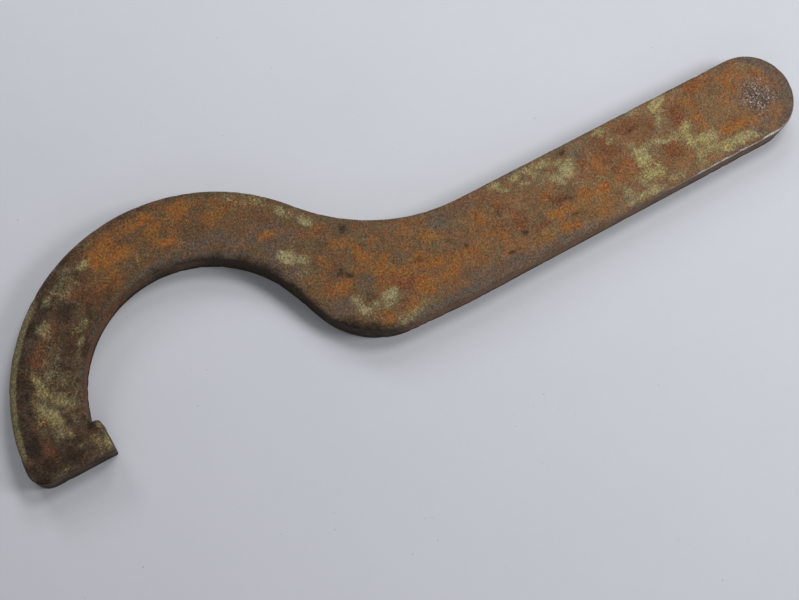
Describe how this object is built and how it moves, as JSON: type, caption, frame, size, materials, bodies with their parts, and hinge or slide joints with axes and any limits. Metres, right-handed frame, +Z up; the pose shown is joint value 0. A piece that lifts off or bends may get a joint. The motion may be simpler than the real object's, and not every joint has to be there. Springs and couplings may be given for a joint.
{
  "type": "hook spanner",
  "caption": "One-piece flat hook spanner for slotted ring nuts: a round-ended bar handle, a waisted neck and a half-ring hook with a square nose.",
  "frame": {"origin": "on the axis of the ring nut that the hook fits, at the underside of the plate", "axes": "+X along the handle, away from the hook; +Y from the handle's line towards the hook's back; +Z up, through the plate"},
  "size_m": [0.2331, 0.0634, 0.008],
  "materials": {
    "rusted_steel": "rusted steel with dark scale and remains of pale olive paint"
  },
  "bodies": {
    "root": {"spanner_body": "rusted_steel"}
  },
  "joints": []
}
